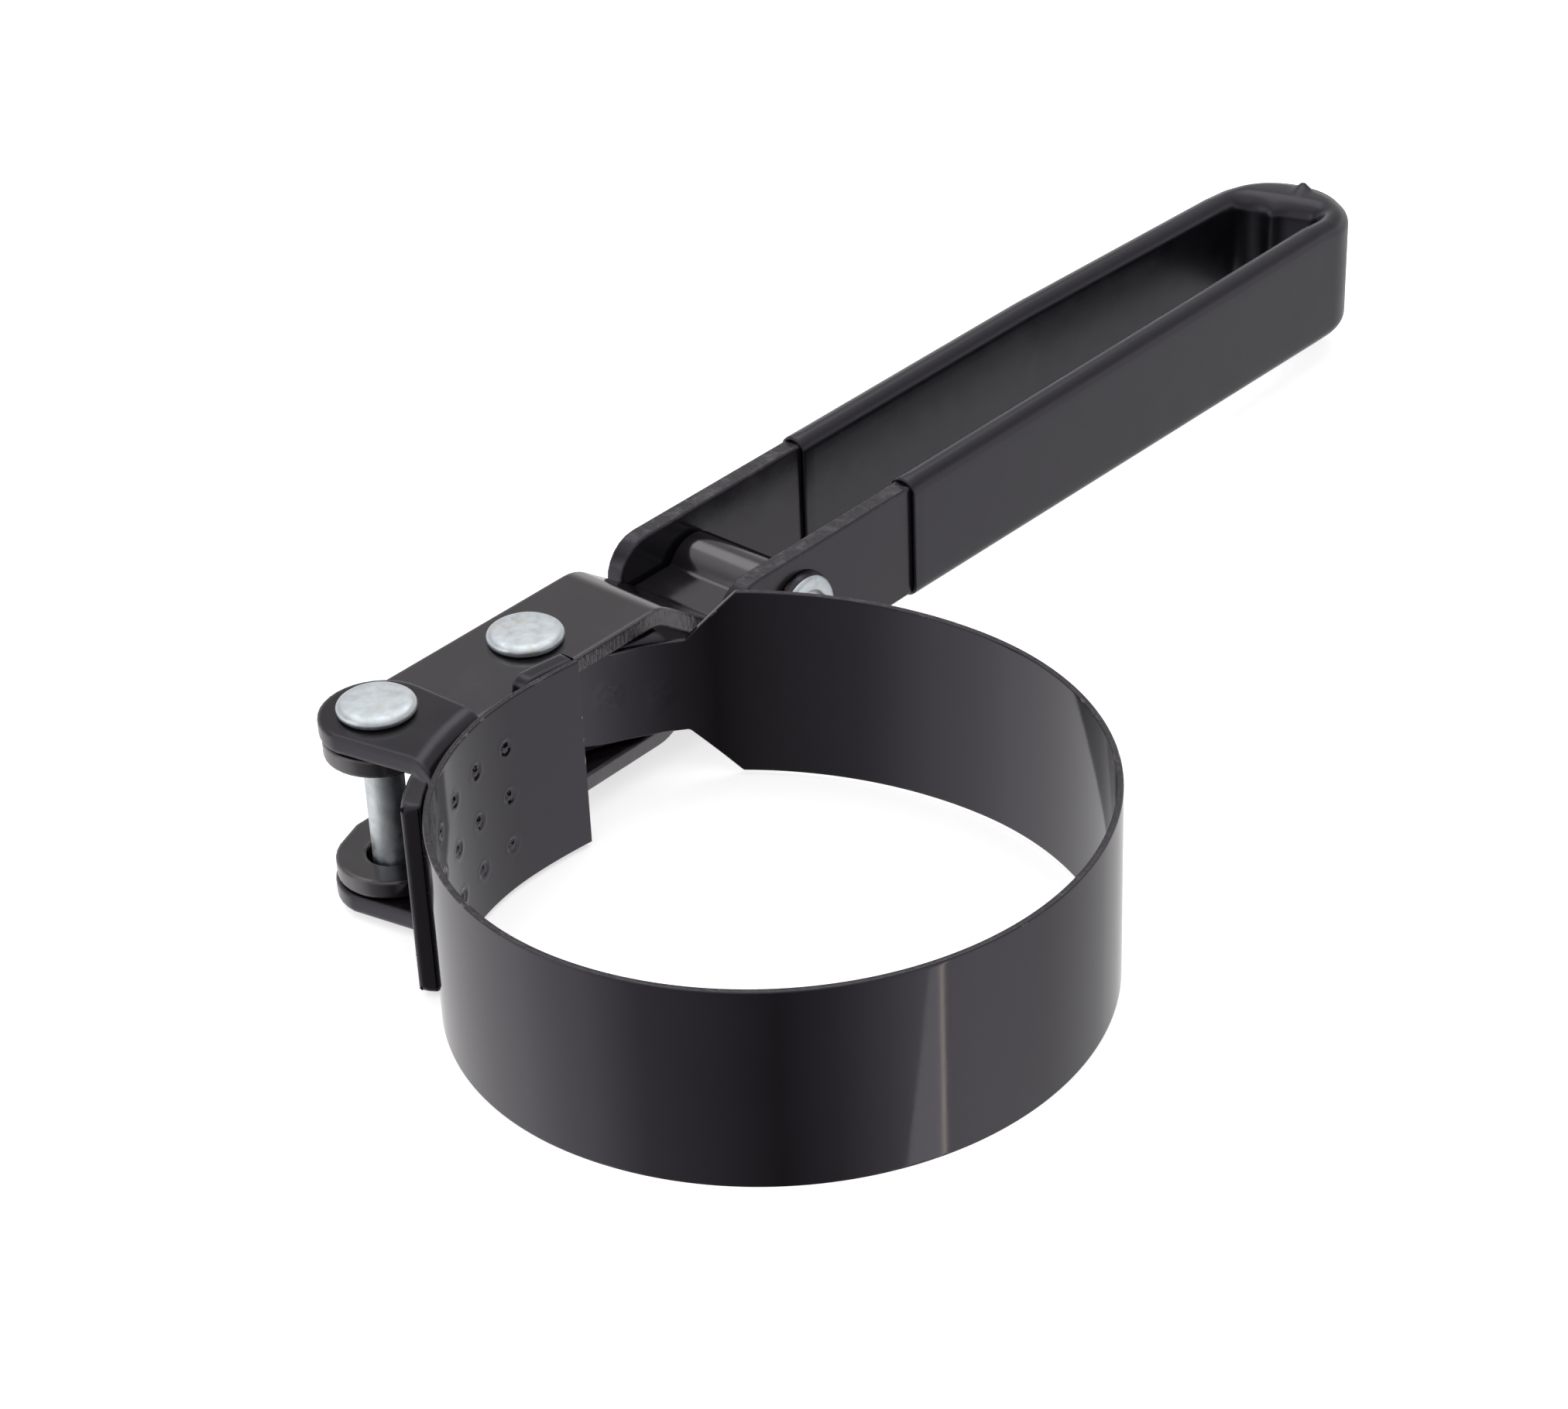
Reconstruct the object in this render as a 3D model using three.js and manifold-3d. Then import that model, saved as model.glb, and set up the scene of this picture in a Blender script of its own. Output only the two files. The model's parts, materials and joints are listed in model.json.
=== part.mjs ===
// Band-type oil filter wrench: a flexible steel strap loop, two welded clips, a folded swivel
// bracket that works as the lever, three rivets, and a steel loop handle with a dipped sleeve.
// Millimetres, +Z up along the loop's axis, +X along the handle, +Y away from the loop.

import * as THREE from 'three';
import { mergeVertices } from 'three/addons/utils/BufferGeometryUtils.js';
import Module from 'manifold-3d';

const wasm = await Module();
wasm.setup();

// ---- Driving dimensions -----------------------------------------------------------------

const loopRadius = 50;           // outside of the strap loop
const strapThickness = 1.0;
const strapHeight = 32.3;
const plateThickness = 3.0;      // clip plate and bracket strip
const clearance = 0.3;           // between pieces that touch
const seatGap = 0.15;            // under a rivet head or tail

const midHeight = strapHeight / 2;
const strapRadius = loopRadius - strapThickness / 2;
const shankRadius = 3.0;
const boreRadius = shankRadius + clearance;
const headRadius = 6.0;
const headHeight = 1.7;

const clipRivet = { x: -20.0, y: 57.8 };     // lever pivot, through the outer clip's ears
const tongueRivet = { x: 11.6, y: 58.5 };    // pulls the tongue
const swivelRivet = { x: 58.4, z: midHeight };

const bracketWidth = 18.7;
const bracketHeight = 24.3;      // outside of the two legs
const bracketCentreY = 57.95;

const handleWidth = 26.8;        // outside of the two bars
const handleCentreY = 57.8;
const barThickness = 3.3;
const barHeight = 20.0;
const barTipX = 42.4;
const handleEndX = 220.3;
const gripStartX = 86.5;
const gripSkin = 1.0;

const degrees = Math.PI / 180;

// ---- Solids -----------------------------------------------------------------------------

function solid(geometry) {
  const bare = geometry.index ? geometry.clone() : geometry;
  bare.deleteAttribute('normal');
  bare.deleteAttribute('uv');
  const merged = mergeVertices(bare, 1e-4);
  const vertProperties = new Float32Array(merged.attributes.position.array);
  const triVerts = new Uint32Array(merged.index.array);
  return new wasm.Manifold(new wasm.Mesh({ numProp: 3, vertProperties, triVerts }));
}

function geometryOf(manifold) {
  const mesh = manifold.getMesh();
  const geometry = new THREE.BufferGeometry();
  geometry.setAttribute('position', new THREE.BufferAttribute(mesh.vertProperties, 3));
  geometry.setIndex(new THREE.BufferAttribute(mesh.triVerts, 1));
  geometry.computeVertexNormals();
  return geometry;
}

// A prism on an outline in plan, from z = low to z = high.
function planPrism(points, low, high) {
  const shape = new THREE.Shape(points.map(([x, y]) => new THREE.Vector2(x, y)));
  const geometry = new THREE.ExtrudeGeometry(shape, { depth: high - low, bevelEnabled: false });
  return solid(geometry.translate(0, 0, low));
}

// A prism on an outline in the side view (x, z), from y = low to y = high.
function sidePrism(points, low, high) {
  const shape = new THREE.Shape(points.map(([x, z]) => new THREE.Vector2(x, z)));
  const geometry = new THREE.ExtrudeGeometry(shape, { depth: high - low, bevelEnabled: false });
  return solid(geometry.rotateX(Math.PI / 2).translate(0, high, 0));
}

// A turned solid: profile points are (radius, height), the axis stands at (x, y).
function turned(profile, x, y, segments) {
  const points = profile.map(([r, z]) => new THREE.Vector2(r, z));
  const geometry = new THREE.LatheGeometry(points, segments);
  return geometry.rotateX(Math.PI / 2).translate(x, y, 0);
}

function cylinder(radius, x, y, low, high) {
  return solid(turned([[0, low], [radius, low], [radius, high], [0, high]], x, y, 36));
}

// Points on an arc, from one angle to the other, in steps of about stepDegrees.
function arc(cx, cy, radius, fromDegrees, toDegrees, stepDegrees = 6) {
  const steps = Math.max(2, Math.round(Math.abs(toDegrees - fromDegrees) / stepDegrees));
  const points = [];
  for (let i = 0; i <= steps; i++) {
    const angle = (fromDegrees + (toDegrees - fromDegrees) * i / steps) * degrees;
    points.push([cx + radius * Math.cos(angle), cy + radius * Math.sin(angle)]);
  }
  return points;
}

// An open line through corner points, with every inner corner rounded to its radius.
function rounded(corners, stepDegrees = 9) {
  const path = [[corners[0].x, corners[0].y]];
  for (let i = 1; i < corners.length - 1; i++) {
    const here = new THREE.Vector2(corners[i].x, corners[i].y);
    const back = new THREE.Vector2(corners[i - 1].x, corners[i - 1].y).sub(here).normalize();
    const ahead = new THREE.Vector2(corners[i + 1].x, corners[i + 1].y).sub(here).normalize();
    const half = Math.acos(THREE.MathUtils.clamp(back.dot(ahead), -1, 1)) / 2;
    const centre = back.clone().add(ahead).normalize()
      .multiplyScalar(corners[i].r / Math.sin(half)).add(here);
    const start = back.multiplyScalar(corners[i].r / Math.tan(half)).add(here).sub(centre);
    const end = ahead.multiplyScalar(corners[i].r / Math.tan(half)).add(here).sub(centre);
    const from = start.angle() / degrees;
    let sweep = end.angle() / degrees - from;
    if (sweep > 180) sweep -= 360;
    if (sweep < -180) sweep += 360;
    path.push(...arc(centre.x, centre.y, corners[i].r, from, from + sweep, stepDegrees));
  }
  const last = corners[corners.length - 1];
  path.push([last.x, last.y]);
  return path;
}

// The closed outline of a strip that follows an open line: left and right are the offsets of
// its two faces, positive to the left of the line's direction.
function strip(path, left, right) {
  const side = (offset) => path.map(([x, y], i) => {
    const [ax, ay] = path[Math.max(0, i - 1)];
    const [bx, by] = path[Math.min(path.length - 1, i + 1)];
    const before = new THREE.Vector2(x - ax, y - ay).normalize();
    const after = new THREE.Vector2(bx - x, by - y).normalize();
    const along = before.clone().add(after).normalize();
    const stretch = Math.max(before.dot(along), after.dot(along));
    return [x - along.y * offset / stretch, y + along.x * offset / stretch];
  });
  return side(right).concat(side(left).reverse());
}

// ---- The strap's centre line: arcs that run on from each other, anticlockwise ------------

const endArc = { radius: 89 };            // flat stretch under the outer clip
const sideArc = { radius: 44.8 };         // between that and the round part
const backArc = { radius: 63.5 };         // opens out towards the tongue
const tongueArc = { radius: 43.5 };

const sideStart = 90;                     // where the flat stretch meets the side arc
const loopStart = 186;                    // left flexing line, seen from the loop's centre
const loopEnd = 361;                      // right flexing line
const backEnd = 395.6;
const tongueEnd = 434;

function chain(from, radius, angle) {
  const reach = from.radius - radius;
  const x = from.x + reach * Math.cos(angle * degrees);
  const y = from.y + reach * Math.sin(angle * degrees);
  return { x, y, radius };
}

const loop = { x: 0, y: 0, radius: strapRadius };
Object.assign(sideArc, chain(loop, sideArc.radius, loopStart));
Object.assign(endArc, chain(sideArc, endArc.radius, sideStart));
Object.assign(backArc, chain(loop, backArc.radius, loopEnd));
Object.assign(tongueArc, chain(backArc, tongueArc.radius, backEnd));

const strapEndX = 7.2;
const endAngle = Math.acos((strapEndX - endArc.x) / endArc.radius) / degrees;

function along(centre, from, to, step) {
  return arc(centre.x, centre.y, centre.radius, from, to, step);
}

function strapPiece(path, low = 0, high = strapHeight) {
  return planPrism(strip(path, strapThickness / 2, -strapThickness / 2), low, high);
}

function gapAngle(centre) {
  return clearance / 2 / centre.radius / degrees;
}

function strapClipEnd() {
  const flat = along(endArc, endAngle, sideStart, 2);
  const side = along(sideArc, sideStart, loopStart - gapAngle(sideArc), 4);
  return strapPiece(flat.concat(side.slice(1)));
}

function strapFront() {
  const gap = gapAngle(loop);
  return strapPiece(along(loop, loopStart + gap, loopEnd - gap, 4));
}

// Beyond the flexing line the strap opens out, and 45 degree cuts narrow it to the tongue.
const tongueHeight = 16.1;
const cutStart = { x: 36.8, y: 38.2 };    // where the cuts leave the strap's edges
const cutHeading = 134;                   // direction of the strap there

function strapTongue() {
  const back = along(backArc, loopEnd + gapAngle(backArc), backEnd, 3);
  const tongue = along(tongueArc, backEnd, tongueEnd, 3);
  const blank = strapPiece(back.concat(tongue.slice(1)));
  const drop = (strapHeight - tongueHeight) / 2;
  const reach = 60;                         // the cutter runs past the tongue's end
  const width = 20;                         // and past both faces of the strap
  const over = 2;
  const wedge = [[-over, -over], [drop, drop], [reach, drop], [reach, -over]];
  const shape = new THREE.Shape(wedge.map(([s, t]) => new THREE.Vector2(s, t)));
  const cutter = new THREE.ExtrudeGeometry(shape, { depth: 2 * width, bevelEnabled: false });
  cutter.translate(0, 0, -width).rotateX(Math.PI / 2).rotateZ(cutHeading * degrees);
  const lower = solid(cutter.clone().translate(cutStart.x, cutStart.y, 0));
  cutter.rotateX(Math.PI).rotateZ(2 * cutHeading * degrees);
  const upper = solid(cutter.translate(cutStart.x, cutStart.y, strapHeight));
  return blank.subtract(lower).subtract(upper);
}

// ---- Clips ------------------------------------------------------------------------------

// A flange bent outwards from a wall that is part of a cylinder: the wall's inner face has
// radius inner, the flange's outer face is at height top, and hand is +1 for an upper flange.
function bentFlange(centre, inner, thickness, top, hand, reach) {
  const bend = 1.0;                         // inside radius
  const rootDepth = 2.0;                    // how far the flange's root goes down the wall
  const outerBend = bend + thickness;
  const turn = { r: inner + outerBend, z: top - hand * outerBend };
  const quarter = (radius, from, to) => arc(turn.r, 0, radius, from, to, 15)
    .map(([r, h]) => [r, turn.z + hand * h]);
  const foot = turn.z - hand * rootDepth;
  const outline = [
    [inner, foot],
    [inner + thickness, foot],
    ...quarter(bend, 180, 90),
    [inner + reach, top - hand * thickness],
    [inner + reach, top],
    ...quarter(outerBend, 90, 180),
    [inner, foot],
  ];
  const profile = hand > 0 ? outline : outline.reverse();
  return solid(turned(profile, centre.x, centre.y, 72));
}

// The outer clip's ear in plan: round the rivet, and a little narrower at the bend.
const outerEar = { radius: 8.8, leftX: -26.2, rightX: -10.6, top: 31.7 };

function outerEarOutline() {
  const { radius, leftX, rightX } = outerEar;
  const rootY = 36;
  return [
    [leftX, rootY],
    [rightX, rootY],
    ...arc(clipRivet.x, clipRivet.y, radius, 0, 180, 10),
    [leftX, rootY + radius],
  ];
}

// The outer clip's wall seen along Y: two full-height tabs and a relief notch at each ear.
function outerWallOutline(upper) {
  const corner = 1.9;
  const notchDepth = 6.5;
  const underEar = 1.0;
  const tabs = { leftX: -36.7, leftEnd: -29.2, rightX: -2.2, rightEnd: 7.6 };
  const notch = upper(strapHeight - notchDepth);
  const ear = upper(outerEar.top - plateThickness - underEar);
  const edge = upper(strapHeight);
  const hand = Math.sign(edge - upper(strapHeight / 2));
  const turn = (x, from, to) => arc(x, 0, corner, from, to, 18)
    .map(([px, h]) => [px, edge - hand * corner + hand * h]);
  return [
    [tabs.leftX, midHeight],
    ...turn(tabs.leftX + corner, 180, 90),
    [tabs.leftEnd, edge],
    [tabs.leftEnd, notch],
    [outerEar.leftX, notch],
    [outerEar.leftX, ear],
    [outerEar.rightX, ear],
    [outerEar.rightX, notch],
    [tabs.rightX - corner / 2, notch],
    ...turn(tabs.rightX + corner, 180, 90),
    ...turn(tabs.rightEnd - corner / 2, 60, 0),
    [tabs.rightEnd + corner / 2, midHeight],
  ];
}

// Cutting solids run well past the piece they shape, over this range of Y or this much in Z.
const clipSpan = { low: 20, high: 70 };
const past = 10;

const same = (z) => z;
const mirrored = (z) => strapHeight - z;

function outerClip() {
  const inner = strapThickness / 2 + clearance;
  const tabEnd = 131.0;                        // left end, seen from the side arc's centre
  const rightReach = endAngle - 0.3;
  const flat = along(endArc, rightReach, sideStart, 2);
  const side = along(sideArc, sideStart, tabEnd, 4);
  const path = flat.concat(side.slice(1));
  const blank = planPrism(strip(path, -inner, -inner - plateThickness), 0, strapHeight);
  const upperHalf = sidePrism(outerWallOutline(same), clipSpan.low, clipSpan.high);
  const lowerOutline = outerWallOutline(mirrored).reverse();
  const lowerHalf = sidePrism(lowerOutline, clipSpan.low, clipSpan.high);
  let clip = blank.intersect(upperHalf.add(lowerHalf));
  const ear = planPrism(outerEarOutline(), -past, strapHeight + past);
  const wallRadius = sideArc.radius + inner;
  const reach = 30;                            // beyond the ear's round end
  for (const hand of [1, -1]) {
    const top = hand > 0 ? outerEar.top : strapHeight - outerEar.top;
    const flange = bentFlange(sideArc, wallRadius, plateThickness, top, hand, reach);
    clip = clip.add(flange.intersect(ear));
  }
  return clip.subtract(
    cylinder(boreRadius, clipRivet.x, clipRivet.y, -past, strapHeight + past),
  );
}

// The inner clip: a channel on the tongue, its flanges inside the bracket's legs.
function innerClip() {
  const thickness = 2.5;
  const inner = tongueArc.radius + strapThickness / 2 + clearance;
  const legInside = bracketHeight / 2 - plateThickness;
  const half = legInside - clearance;
  const earRadius = 6.6;
  const reach = 24;                            // beyond the ears' round ends
  const wallSpan = { from: 45, to: 90 };       // seen from the tongue arc's centre
  const wallInset = 3.0;                       // the wall stops short of the flanges' bends
  const window = { radius: 5.4, half: 7.0 };   // room for the rivet between the flanges
  const pocketHalf = 6.35;
  const baseStart = { x: 30.2, y: 45.5 };
  const outline = [
    [baseStart.x - 5, baseStart.y - 4],
    [baseStart.x, baseStart.y],
    [baseStart.x - 0.6, baseStart.y + 4.5],
    ...arc(tongueRivet.x, tongueRivet.y, earRadius, 62, 205, 11),
  ];
  const plan = planPrism(outline, 0, strapHeight);
  const wallArc = { ...tongueArc, radius: inner + thickness / 2 };
  const wallLine = along(wallArc, wallSpan.from, wallSpan.to, 3);
  const wall = planPrism(
    strip(wallLine, -thickness / 2, thickness / 2),
    midHeight - half + wallInset, midHeight + half - wallInset,
  ).intersect(plan);
  const core = (reachZ) => cylinder(
    window.radius, tongueRivet.x, tongueRivet.y, midHeight - reachZ, midHeight + reachZ,
  );
  let clip = wall.subtract(core(window.half));
  for (const hand of [1, -1]) {
    const top = midHeight + hand * half;
    const flange = bentFlange(tongueArc, inner, thickness, top, hand, reach);
    clip = clip.add(flange.intersect(plan).subtract(core(pocketHalf)));
  }
  const eye = shankRadius + 0.6;               // the loop is opened here, so the eye is roomy
  return clip.subtract(cylinder(eye, tongueRivet.x, tongueRivet.y, -past, strapHeight + past));
}

// ---- Swivel bracket: one strip folded round the swivel rivet ------------------------------

const barrel = { bore: boreRadius };
barrel.radius = barrel.bore + plateThickness / 2;

function bracketSide() {
  const legZ = (bracketHeight - plateThickness) / 2;
  const neckZ = plateThickness / 2 + 0.1;      // the two legs nearly touch at the neck
  const shoulderRadius = 6.5;
  const neckRadius = 3.2;
  const fillet = 2.2;
  const legStartX = -29.5;                     // cut back later by the rounded ends
  const shoulderX = 31.0;
  const neckX = 44.0;
  const dz = neckZ + fillet;
  const span = barrel.radius + fillet;
  const filletX = swivelRivet.x - Math.sqrt(span * span - dz * dz);
  const touch = Math.atan2(dz, filletX - swivelRivet.x) / degrees;
  const upper = rounded([
    { x: legStartX, y: legZ },
    { x: shoulderX, y: legZ, r: shoulderRadius },
    { x: neckX, y: neckZ, r: neckRadius },
    { x: filletX, y: neckZ },
  ]);
  const rise = arc(filletX, dz, fillet, -90, touch - 180, 12);
  const wrap = arc(swivelRivet.x, 0, barrel.radius, touch, 0, 10);
  const half = upper.concat(rise.slice(1), wrap.slice(1));
  const lower = half.slice(0, -1).reverse().map(([x, z]) => [x, -z]);
  return half.concat(lower).map(([x, z]) => [x, z + midHeight]);
}

function swivelBracket() {
  const near = bracketCentreY - bracketWidth / 2;
  const far = bracketCentreY + bracketWidth / 2;
  const outline = strip(bracketSide(), plateThickness / 2, -plateThickness / 2);
  const folded = sidePrism(outline, near, far);
  const nose = 8.5;                            // rounded leg ends, tapered on both edges
  const plan = [
    [swivelRivet.x + past, near - 1],
    [swivelRivet.x + past, far + 1],
    [clipRivet.x + 4, far + 1],
    [clipRivet.x + 1.5, far],
    ...arc(clipRivet.x, clipRivet.y, nose, 115, 255, 10),
    [clipRivet.x + 2, near],
    [clipRivet.x + 4, near - 1],
  ];
  const looseHole = shankRadius + 0.9;
  return folded
    .intersect(planPrism(plan, 0, strapHeight))
    .subtract(cylinder(looseHole, clipRivet.x, clipRivet.y, 0, strapHeight))
    .subtract(cylinder(boreRadius, tongueRivet.x, tongueRivet.y, 0, strapHeight));
}

// ---- Rivets -----------------------------------------------------------------------------

// Profile of a rivet: domed head above, shank, and a formed tail below.
function rivetProfile(top, bottom) {
  const tailRadius = 5.2;
  const tailHeight = 1.3;
  const rim = 0.5;
  const rimHeight = headHeight - 0.9;          // of the head's straight side
  const shoulderHeight = headHeight - 0.3;
  return [
    [0, bottom - tailHeight],
    [tailRadius - rim, bottom - tailHeight],
    [tailRadius, bottom - tailHeight + rim],
    [tailRadius, bottom],
    [shankRadius, bottom],
    [shankRadius, top],
    [headRadius, top],
    [headRadius, top + rimHeight],
    [headRadius - rim, top + shoulderHeight],
    [headRadius * 0.6, top + headHeight],
    [0, top + headHeight],
  ];
}

function platedRivet(place, top) {
  const profile = rivetProfile(top + seatGap, strapHeight - top - seatGap);
  return solid(turned(profile, place.x, place.y, 40));
}

// The swivel rivet lies across: its head is outside the far bar, and its rolled tail, dished
// in the middle, is outside the near bar.
function swivelPin() {
  const nearFace = handleCentreY - handleWidth / 2 - seatGap;
  const farFace = handleCentreY + handleWidth / 2 + seatGap;
  const tail = { radius: 6.9, height: 2.3, dish: 3.4, depth: 1.2, bevel: 1.4 };
  const profile = [
    [0, nearFace - tail.height + tail.depth],
    [tail.dish - 0.7, nearFace - tail.height + tail.depth],
    [tail.dish, nearFace - tail.height + 0.2],
    [tail.dish + 0.5, nearFace - tail.height],
    [tail.radius - tail.bevel, nearFace - tail.height],
    [tail.radius, nearFace - 0.5],
    [tail.radius, nearFace],
    [shankRadius, nearFace],
    [shankRadius, farFace],
    [headRadius, farFace],
    [headRadius, farFace + headHeight - 0.9],
    [headRadius * 0.6, farFace + headHeight],
    [0, farFace + headHeight],
  ];
  const geometry = turned(profile, 0, 0, 40);
  geometry.rotateX(-Math.PI / 2).translate(swivelRivet.x, 0, swivelRivet.z);
  return solid(geometry);
}

// ---- Handle -----------------------------------------------------------------------------

const barMid = handleWidth / 2 - barThickness / 2;
const nearBarY = handleCentreY - barMid;
const farBarY = handleCentreY + barMid;
const taper = { startX: 150, drop: 2.5 };     // the far bar leans in towards the end
const bow = { radius: 10.6 };                 // corners of the loop's end
const leanIn = { radius: 120 };               // the soft bend where the far bar starts to lean

// The bars' centre line from the near tip round the end; fromX trims both tips.
function handleLine(fromX) {
  const endX = handleEndX - barThickness / 2;
  return rounded([
    { x: fromX, y: nearBarY },
    { x: endX, y: nearBarY, r: bow.radius },
    { x: endX, y: farBarY - taper.drop, r: bow.radius },
    { x: taper.startX, y: farBarY, r: leanIn.radius },
    { x: fromX, y: farBarY },
  ], 10);
}

function handleFrame() {
  const low = midHeight - barHeight / 2;
  const high = midHeight + barHeight / 2;
  const loopStrip = strip(handleLine(barTipX), barThickness / 2, -barThickness / 2);
  const bars = planPrism(loopStrip, low, high);
  const corner = { along: 6.5, up: 6.5 };
  const tip = (centreZ, from, to) => arc(0, 0, 1, from, to, 15)
    .map(([u, v]) => [barTipX + corner.along * (1 + u), centreZ + corner.up * v]);
  const side = [
    ...tip(low + corner.up, 180, 270),
    [handleEndX + past, low],
    [handleEndX + past, high],
    ...tip(high - corner.up, 90, 180),
  ];
  const nearY = handleCentreY - handleWidth;
  const farY = handleCentreY + handleWidth;
  const bore = solid(
    turned([[0, nearY], [boreRadius, nearY], [boreRadius, farY], [0, farY]], 0, 0, 36)
      .rotateX(-Math.PI / 2).translate(swivelRivet.x, 0, swivelRivet.z),
  );
  return bars.intersect(sidePrism(side, nearY, farY)).subtract(bore);
}

// The dipped sleeve: thicker towards the end, where the dip ran down.
function handleGrip() {
  const outer = barThickness / 2 + gripSkin;
  const inner = barThickness / 2 + clearance;
  const half = barHeight / 2;
  const sag = { under: 2.9, over: 2.0 };        // skin above and below the bar at the far end
  const line = handleLine(gripStartX);
  const blank = planPrism(strip(line, outer, -outer), 0, strapHeight);
  const side = [
    [gripStartX - 1, midHeight - half - gripSkin],
    [handleEndX + past, midHeight - half - sag.under],
    [handleEndX + past, midHeight + half + sag.over],
    [gripStartX - 1, midHeight + half + gripSkin],
  ];
  const low = handleCentreY - handleWidth;
  const high = handleCentreY + handleWidth;
  const core = planPrism(
    strip(handleLine(gripStartX - past), inner, -inner),
    midHeight - half - clearance, midHeight + half + clearance,
  );
  return blank.intersect(sidePrism(side, low, high)).subtract(core);
}

// ---- Assembly ---------------------------------------------------------------------------

const blackPaint = { color: 0x1b1a1d, roughness: 0.28, metalness: 0.0 };
const zincPlate = { color: 0xb9c0c4, roughness: 0.35, metalness: 1.0 };
const dippedVinyl = { color: 0x232226, roughness: 0.42, metalness: 0.0 };

const bracketTop = midHeight + bracketHeight / 2;

const pieces = [
  ['strap_clip_end', strapClipEnd(), blackPaint],
  ['strap_front', strapFront(), blackPaint],
  ['strap_tongue', strapTongue(), blackPaint],
  ['outer_clip', outerClip(), blackPaint],
  ['inner_clip', innerClip(), blackPaint],
  ['swivel_bracket', swivelBracket(), blackPaint],
  ['clip_rivet', platedRivet(clipRivet, outerEar.top), zincPlate],
  ['tongue_rivet', platedRivet(tongueRivet, bracketTop), zincPlate],
  ['swivel_rivet', swivelPin(), zincPlate],
  ['handle_frame', handleFrame(), blackPaint],
  ['handle_grip', handleGrip(), dippedVinyl],
];

const wrench = new THREE.Group();
for (const [name, manifold, finish] of pieces) {
  const mesh = new THREE.Mesh(geometryOf(manifold), new THREE.MeshStandardMaterial(finish));
  mesh.name = name;
  wrench.add(mesh);
}

// The origin is the bottom centre of the bounding box.
const box = new THREE.Box3().setFromObject(wrench);
wrench.position.set(-(box.min.x + box.max.x) / 2, -(box.min.y + box.max.y) / 2, -box.min.z);

export default wrench;
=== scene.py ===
"""Looks of the oil filter wrench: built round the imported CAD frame, in metres."""

import json
import math

import bmesh
import bpy
from mathutils import Matrix, Vector, noise
from mathutils.bvhtree import BVHTree


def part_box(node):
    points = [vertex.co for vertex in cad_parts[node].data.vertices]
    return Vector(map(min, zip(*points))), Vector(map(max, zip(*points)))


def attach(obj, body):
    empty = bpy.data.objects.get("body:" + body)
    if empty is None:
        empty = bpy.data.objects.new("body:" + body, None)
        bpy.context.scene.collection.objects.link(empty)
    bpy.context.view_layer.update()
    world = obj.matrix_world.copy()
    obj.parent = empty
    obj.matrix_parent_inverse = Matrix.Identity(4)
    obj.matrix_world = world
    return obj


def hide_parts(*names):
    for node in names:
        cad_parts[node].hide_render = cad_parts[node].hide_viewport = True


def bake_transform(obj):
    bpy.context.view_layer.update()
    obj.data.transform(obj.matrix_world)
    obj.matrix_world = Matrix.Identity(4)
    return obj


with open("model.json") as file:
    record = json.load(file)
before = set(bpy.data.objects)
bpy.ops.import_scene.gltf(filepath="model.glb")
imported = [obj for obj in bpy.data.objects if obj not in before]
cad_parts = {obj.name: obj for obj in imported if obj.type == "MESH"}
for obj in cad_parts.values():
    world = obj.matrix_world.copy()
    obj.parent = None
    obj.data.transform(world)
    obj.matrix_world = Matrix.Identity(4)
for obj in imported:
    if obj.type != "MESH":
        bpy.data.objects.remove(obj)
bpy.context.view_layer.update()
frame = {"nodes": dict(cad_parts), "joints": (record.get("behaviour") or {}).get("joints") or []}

MM = 0.001

# ---- Places, in millimetres from the strap loop's centre on the strap's lower rim -----------

STRAP_HEIGHT = 32.3
MID = STRAP_HEIGHT / 2
CLIP_RIVET = (-20.0, 57.8)
TONGUE_RIVET = (11.6, 58.5)
SWIVEL = (58.4, 57.8)                 # where the swivel rivet crosses the handle's middle
OUTER_EAR_TOP = 31.85
BRACKET_TOP = MID + 12.15

lever = next(Vector(joint["pos_m"]) for joint in frame["joints"] if joint["name"] == "lever_pivot")
strap_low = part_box("strap_clip_end")[0][2]
centre = Vector((lever.x - CLIP_RIVET[0] * MM, lever.y - CLIP_RIVET[1] * MM, strap_low))


def at(x, y, z):
    """A point given in millimetres from the loop's centre, in the row frame."""
    return Vector((centre.x + x * MM, centre.y + y * MM, centre.z + z * MM))


# ---- Camera, floor and light ---------------------------------------------------------------

CAMERA_PLACE = (-327.12, -298.25, 323.27)
CAMERA_AZIMUTH, CAMERA_ELEVATION, CAMERA_ROLL = 48.022, 32.184, -2.4745
CAMERA_LENS = 86.7

FLOOR_HALF = 5.0
FLOOR_GLOW = 0.6                      # keeps the floor white away from the lamps

# How bright the studio is: by azimuth in degrees below the horizon, and above it by height,
# where 0.5 is the horizon and 1 is overhead.
LOW_STUDIO = [
    (0, 0.8), (60, 0.9), (130, 1.3), (158, 1.0), (178, 0.45), (200, 0.26), (222, 0.05),
    (240, 0.26), (258, 0.68), (275, 1.25), (290, 1.2), (320, 0.82), (345, 0.75),
]
HIGH_STUDIO = [(0.5, 1.2), (0.6, 1.0), (0.7, 0.52), (0.8, 0.52), (0.9, 1.0), (1.0, 1.3)]
HORIZON = [(0.47, 0.0), (0.53, 1.0)]
RAMP_SCALE = 2.0                      # a ramp's colours are kept under 1 and scaled back up
STUDIO_TINT = (1.0, 0.985, 0.99)

# Two bright cards, given as (x, z) corners on one upright plane south of the strap.
CARD_Y = -145.7
LINE_CARD = [(-8.0, -92.0), (-5.0, -92.0), (-5.0, -28.0), (-8.0, -28.0)]
WEDGE_CARD = [(-40.0, -92.0), (-8.0, -92.0), (-8.0, -28.0), (-9.0, -28.0)]


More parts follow.
